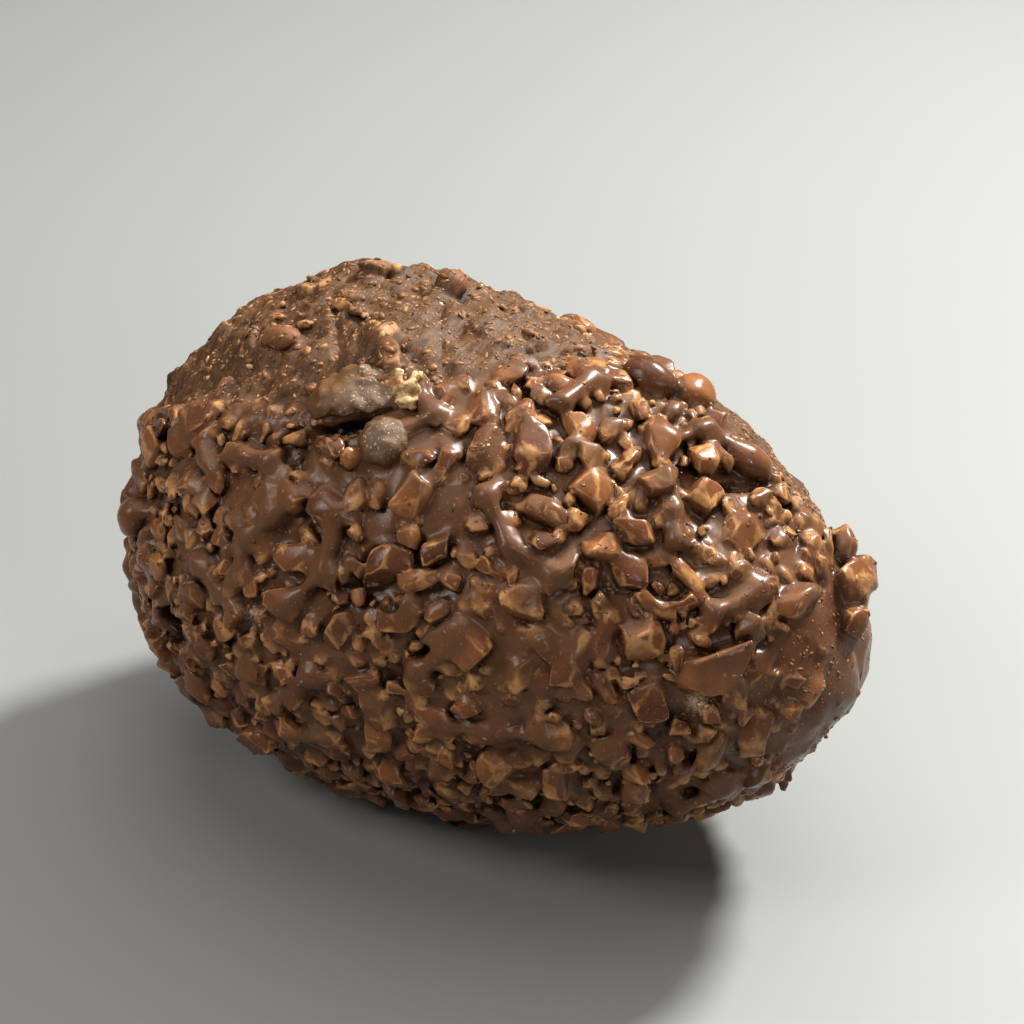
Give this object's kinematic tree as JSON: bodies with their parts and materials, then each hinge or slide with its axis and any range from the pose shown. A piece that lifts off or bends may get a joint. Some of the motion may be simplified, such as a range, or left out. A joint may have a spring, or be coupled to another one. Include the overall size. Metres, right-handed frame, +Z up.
{
  "type": "chocolate egg",
  "caption": "Large milk chocolate egg lying on its side, coated all over in chopped nuts under a thin satin chocolate skin, with a smoother scraped crown.",
  "frame": {"origin": "on the surface the egg rests on, under the middle of its box", "axes": "+X along the egg to its narrow end, +Y to its back, +Z up"},
  "size_m": [0.2004, 0.1386, 0.1348],
  "materials": {
    "milk_chocolate": "satin milk chocolate, softly glossy on the nuts, duller and scraped on the crown",
    "coated_nut": "chopped roasted nuts under a thin film of milk chocolate, lighter at their edges",
    "bare_nut": "broken faces and crumbs of roasted nut, dry",
    "bloomed_chocolate": "chocolate flap with a grey, dull bloom"
  },
  "bodies": {
    "root": {"chocolate_egg": "milk_chocolate"}
  },
  "joints": []
}
